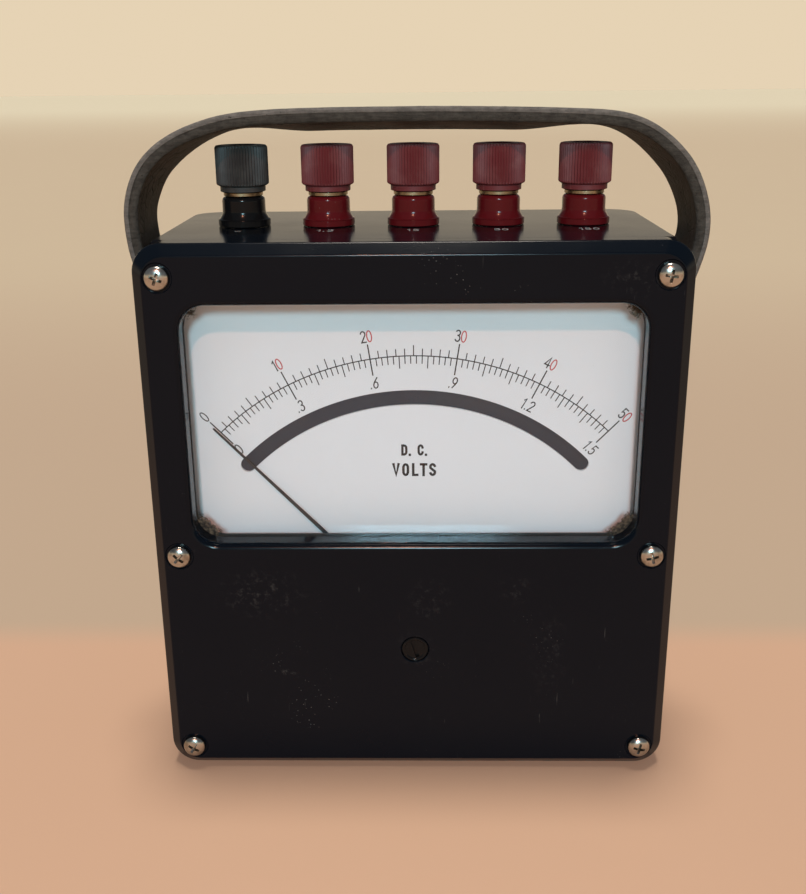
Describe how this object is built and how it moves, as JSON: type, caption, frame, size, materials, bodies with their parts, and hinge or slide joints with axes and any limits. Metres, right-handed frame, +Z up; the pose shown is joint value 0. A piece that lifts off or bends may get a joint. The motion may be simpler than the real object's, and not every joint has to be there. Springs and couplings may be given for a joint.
{
  "type": "analog multimeter",
  "caption": "Portable moving-coil DC voltmeter in a black moulded case with a wide glazed mirror scale, screw-down terminals on top and a leather carrying strap.",
  "frame": {"origin": "middle of the flat bottom of the case, on the surface that the meter stands on", "axes": "+X to the reader's right, +Y from the front cover to the back of the case, +Z up"},
  "size_m": [0.1652, 0.0779, 0.1946],
  "materials": {
    "black_moulding": "polished black phenolic with dust specks and fine scratches",
    "red_moulding": "polished deep red phenolic",
    "black_cap": "dusty black phenolic, finely fluted",
    "red_cap": "dusty dark red phenolic, finely fluted",
    "window_glass": "clear flat glass",
    "gasket": "aged black rubber",
    "nickel": "nickel plate, slightly dulled",
    "steel": "hardened polished steel",
    "brass": "turned brass, slightly tarnished",
    "spring_bronze": "phosphor bronze strip",
    "dial_paint": "matt white enamel with printed scale",
    "dial_mirror": "silvered strip behind the scale",
    "needle_paint": "matt black paint",
    "aluminium": "cast aluminium",
    "copper_wire": "enamelled copper wire",
    "soft_iron": "ground soft iron",
    "magnet_steel": "dark lacquered magnet steel",
    "resistor_board": "brown paper laminate with wound spools",
    "strap_leather": "worn dark leather with pale cut edges"
  },
  "bodies": {
    "case": {"rear_case": "black_moulding", "front_cover": "black_moulding", "window_glass": "window_glass", "window_gasket": "gasket", "cover_screw_top_left": "nickel", "cover_screw_top_right": "nickel", "cover_screw_middle_left": "nickel", "cover_screw_middle_right": "nickel", "cover_screw_bottom_left": "nickel", "cover_screw_bottom_right": "nickel", "dial_plate": "dial_paint", "dial_mirror": "dial_mirror", "dial_screw_left": "brass", "dial_screw_right": "brass", "magnet": "magnet_steel", "pole_piece_left": "soft_iron", "pole_piece_right": "soft_iron", "iron_core": "soft_iron", "core_support": "brass", "front_bridge": "brass", "rear_bridge": "brass", "front_jewel_screw": "brass", "rear_jewel_screw": "brass", "rear_hairspring": "spring_bronze", "movement_base": "aluminium", "resistor_board": "resistor_board", "strap_screw_left": "nickel", "strap_screw_right": "nickel", "post_base_black": "black_moulding", "post_base_red_1": "red_moulding", "post_base_red_2": "red_moulding", "post_base_red_3": "red_moulding", "post_base_red_4": "red_moulding", "post_stud_black": "brass", "post_stud_red_1": "brass", "post_stud_red_2": "brass", "post_stud_red_3": "brass", "post_stud_red_4": "brass"},
    "strap": {"strap": "strap_leather"},
    "zero_adjuster": {"zero_adjuster": "black_moulding"},
    "zero_arm": {"zero_arm": "brass", "front_hairspring": "spring_bronze"},
    "moving_coil": {"coil_former": "aluminium", "coil_winding": "copper_wire", "front_pivot": "steel", "rear_pivot": "steel", "pointer": "needle_paint", "balance_weight_left": "brass", "balance_weight_right": "brass", "balance_weight_tail": "brass"},
    "thumb_nut_black": {"cap_insert_black": "brass"},
    "thumb_cap_black": {"post_cap_black": "black_cap"},
    "thumb_nut_red_1": {"cap_insert_red_1": "brass"},
    "thumb_cap_red_1": {"post_cap_red_1": "red_cap"},
    "thumb_nut_red_2": {"cap_insert_red_2": "brass"},
    "thumb_cap_red_2": {"post_cap_red_2": "red_cap"},
    "thumb_nut_red_3": {"cap_insert_red_3": "brass"},
    "thumb_cap_red_3": {"post_cap_red_3": "red_cap"},
    "thumb_nut_red_4": {"cap_insert_red_4": "brass"},
    "thumb_cap_red_4": {"post_cap_red_4": "red_cap"}
  },
  "joints": [
    {"name": "strap_swing", "type": "hinge", "parent": "case", "child": "strap", "pos_m": [0, -0.003, 0.128], "axis": [-1, 0, 0], "range_deg": [-20, 115]},
    {"name": "zero_adjust", "type": "hinge", "parent": "case", "child": "zero_adjuster", "pos_m": [0, -0.036, 0.0407], "axis": [0, 1, 0], "range_deg": [-24, 24]},
    {"name": "zero_arm_turn", "type": "hinge", "parent": "case", "child": "zero_arm", "pos_m": [0, -0.032, 0.0459], "axis": [0, 1, 0], "range_deg": [-4.6, 4.6]},
    {"name": "needle_turn", "type": "hinge", "parent": "zero_arm", "child": "moving_coil", "pos_m": [0, -0.015, 0.0459], "axis": [0, 1, 0], "range_deg": [-2, 90], "stiffness_Nm_per_rad": 0.0005, "deforming": ["front_hairspring", "rear_hairspring"]},
    {"name": "post_black_lift", "type": "slide", "parent": "case", "child": "thumb_nut_black", "axis": [0, 0, 1], "range_m": [0, 0.00272]},
    {"name": "post_black_turn", "type": "hinge", "parent": "thumb_nut_black", "child": "thumb_cap_black", "pos_m": [-0.05, 0.0015, 0.1605], "axis": [0, 0, 1], "range_deg": [0, 1080]},
    {"name": "post_red_1_lift", "type": "slide", "parent": "case", "child": "thumb_nut_red_1", "axis": [0, 0, 1], "range_m": [0, 0.00272]},
    {"name": "post_red_1_turn", "type": "hinge", "parent": "thumb_nut_red_1", "child": "thumb_cap_red_1", "pos_m": [-0.025, 0.0015, 0.1605], "axis": [0, 0, 1], "range_deg": [0, 1080]},
    {"name": "post_red_2_lift", "type": "slide", "parent": "case", "child": "thumb_nut_red_2", "axis": [0, 0, 1], "range_m": [0, 0.00272]},
    {"name": "post_red_2_turn", "type": "hinge", "parent": "thumb_nut_red_2", "child": "thumb_cap_red_2", "pos_m": [0, 0.0015, 0.1605], "axis": [0, 0, 1], "range_deg": [0, 1080]},
    {"name": "post_red_3_lift", "type": "slide", "parent": "case", "child": "thumb_nut_red_3", "axis": [0, 0, 1], "range_m": [0, 0.00272]},
    {"name": "post_red_3_turn", "type": "hinge", "parent": "thumb_nut_red_3", "child": "thumb_cap_red_3", "pos_m": [0.025, 0.0015, 0.1605], "axis": [0, 0, 1], "range_deg": [0, 1080]},
    {"name": "post_red_4_lift", "type": "slide", "parent": "case", "child": "thumb_nut_red_4", "axis": [0, 0, 1], "range_m": [0, 0.00272]},
    {"name": "post_red_4_turn", "type": "hinge", "parent": "thumb_nut_red_4", "child": "thumb_cap_red_4", "pos_m": [0.05, 0.0015, 0.1605], "axis": [0, 0, 1], "range_deg": [0, 1080]}
  ],
  "couplings": [
    {"joint": "zero_arm_turn", "follows": "zero_adjust", "ratio": 0.1875},
    {"joint": "post_black_turn", "follows": "post_black_lift", "rad_per_m": 6927.4},
    {"joint": "post_red_1_turn", "follows": "post_red_1_lift", "rad_per_m": 6927.4},
    {"joint": "post_red_2_turn", "follows": "post_red_2_lift", "rad_per_m": 6927.4},
    {"joint": "post_red_3_turn", "follows": "post_red_3_lift", "rad_per_m": 6927.4},
    {"joint": "post_red_4_turn", "follows": "post_red_4_lift", "rad_per_m": 6927.4}
  ]
}
